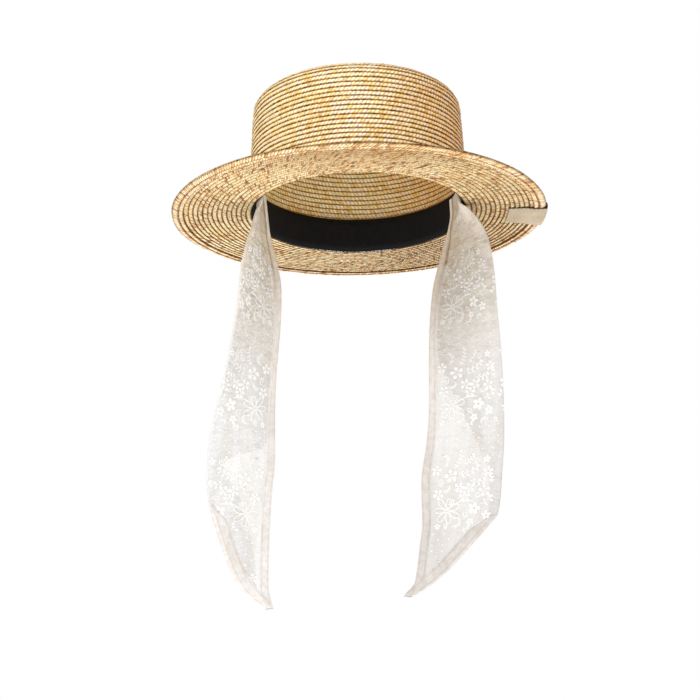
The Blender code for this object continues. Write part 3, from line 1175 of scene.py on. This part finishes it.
def linen_material():
    """Hem cloth: the net doubled until it looks solid."""
    n = Nodes("hem_net")
    u, v = n.uv()
    edge = hexagon_edge(n, u, v, NET_CELL * 0.9)
    place = n.place()
    tone = n.ramp(n.noise(place, 45.0, 3.0), (0.3, (0.72, 0.69, 0.67)), (0.7, (0.79, 0.77, 0.755)))
    mesh = n.ramp(edge, (0.0, WHITE), (0.45, (0.91, 0.90, 0.88)))
    base = n.times(tone, mesh)
    blotches = n.ramp(n.noise(place, 240.0, 2.0), (0.44, (0.92, 0.90, 0.88)), (0.54, WHITE))
    base = n.times(base, blotches)
    # Painted shade in the hem's two creases, beside its stitching
    across = n.math("DIVIDE", v, HEM)
    creases = n.ramp(
        across,
        (0.10, WHITE),
        (0.15, (0.80, 0.77, 0.72)),
        (0.20, WHITE),
        (0.80, WHITE),
        (0.84, (0.78, 0.75, 0.70)),
        (0.88, WHITE),
    )
    base = n.times(base, creases)
    # Painted light: the hem is lightened toward the top, where the brim shades it
    high = n.span(u, -170.0, -40.0)
    base = n.times(base, (1.30, 1.27, 1.21, 1.0), high)
    normal = n.bump(edge, 0.2 * MM, 0.5, n.bump(creases, 0.4 * MM, 0.8))
    return n.surface(shade_right_tie(n, base), 0.85, normal)


def satin_material():
    """Thick white embroidery cotton."""
    n = Nodes("embroidery_cotton")
    strands = n.noise(n.place(), 900.0, 2.0)
    tone = n.ramp(strands, (0.3, (0.79, 0.78, 0.76)), (0.7, (0.87, 0.86, 0.85)))
    normal = n.bump(strands, 0.15 * MM, 0.5)
    return n.surface(tone, 0.7, normal, Sheen_Weight=0.2)


# Camera, floor and light


def make_camera():
    data = bpy.data.cameras.new("camera")
    data.lens = LENS_MM
    data.sensor_width = SENSOR_MM
    camera = add_object("camera", data)
    axes = Matrix((CAMERA_RIGHT, CAMERA_UP, -CAMERA_FORWARD)).transposed()
    camera.matrix_world = Matrix.Translation(CAMERA_PLACE) @ axes.to_4x4()
    bpy.context.scene.camera = camera


def make_floor():
    signs = ((-1, -1), (1, -1), (1, 1), (-1, 1))
    corners = np.array([(x * FLOOR_HALF, y * FLOOR_HALF, FLOOR_HEIGHT) for x, y in signs])
    floor = fill_mesh("floor", corners, np.array([[0, 1, 2, 3]]))
    n = Nodes("pale_floor")
    floor.data.materials.append(n.surface((0.80, 0.80, 0.79, 1.0), 0.8))


def add_light(name, place, target, size, energy, colour):
    data = bpy.data.lights.new(name, "AREA")
    data.size = size
    data.energy = energy
    data.color = colour
    light = add_object(name, data)
    light.location = place
    light.visible_camera = False
    light.rotation_euler = (Vector(target) - Vector(place)).to_track_quat("-Z", "Y").to_euler()


def make_lighting():
    world = bpy.data.worlds.new("studio")
    world.use_nodes = True
    background = world.node_tree.nodes["Background"]
    background.inputs["Color"].default_value = (1.0, 1.0, 1.0, 1.0)
    background.inputs["Strength"].default_value = 1.0
    bpy.context.scene.world = world
    bpy.context.scene.view_settings.view_transform = "Standard"
    add_light("key", (-0.7, -1.75, 1.1), (0, 0, 0), 0.9, 22, (1.0, 0.985, 0.96))
    add_light("low_fill", (0.10, 0.0, -1.25), (0, 0, 0), 0.7, 9.5, (1.0, 0.97, 0.93))
    add_light("left_fill", (-0.70, -0.05, -1.10), (-0.12, 0, 0), 0.5, 2.4, (1.0, 0.97, 0.93))


make_camera()
make_floor()
make_lighting()

straw_rng = np.random.default_rng(STRAW_SEED)
# The left, right and front tints of each straw are painted light and shade
crown_straw = straw_material(
    "crown_straw",
    CROWN_TONES,
    patchy=0.16,
    specked=0.40,
    crevice_shade=(0.12, 0.04, 0.006),
    amber=(0.90, 0.52, 0.14),
    strand_edge_shade=(0.76, 0.54, 0.23),
    left=(0.95, 0.86, 0.68),
    right=(0.88, 0.60, 0.34),
    front=WHITE,
)
brim_straw = straw_material(
    "brim_straw",
    BRIM_TONES,
    patchy=0.12,
    specked=0.70,
    crevice_shade=(0.03, 0.008, 0.002),
    amber=(0.28, 0.12, 0.04),
    strand_edge_shade=(0.52, 0.32, 0.16),
    left=(1.00, 0.98, 0.94),
    right=(0.83, 0.77, 0.69),
    front=(0.66, 0.55, 0.42),
)
edge_straw = straw_material(
    "edge_straw",
    EDGE_TONES,
    patchy=0.15,
    specked=0.60,
    crevice_shade=(0.06, 0.02, 0.006),
    amber=(0.46, 0.24, 0.10),
    strand_edge_shade=(0.52, 0.34, 0.18),
    left=(1.00, 0.98, 0.94),
    right=(0.97, 0.92, 0.84),
    front=(1.00, 0.93, 0.80),
)
make_crown(crown_straw, straw_rng)
make_brim(brim_straw, edge_straw, straw_rng)
make_sweatband(ribbon_material())
tulle = net_material()
cotton = satin_material()
hem_net = linen_material()
make_label(tape_material())
make_tie("left", LEFT_TIE, -1, LEFT_CUT, tulle, cotton, hem_net)
make_tie("right", RIGHT_TIE, 1, RIGHT_CUT, tulle, cotton, hem_net)
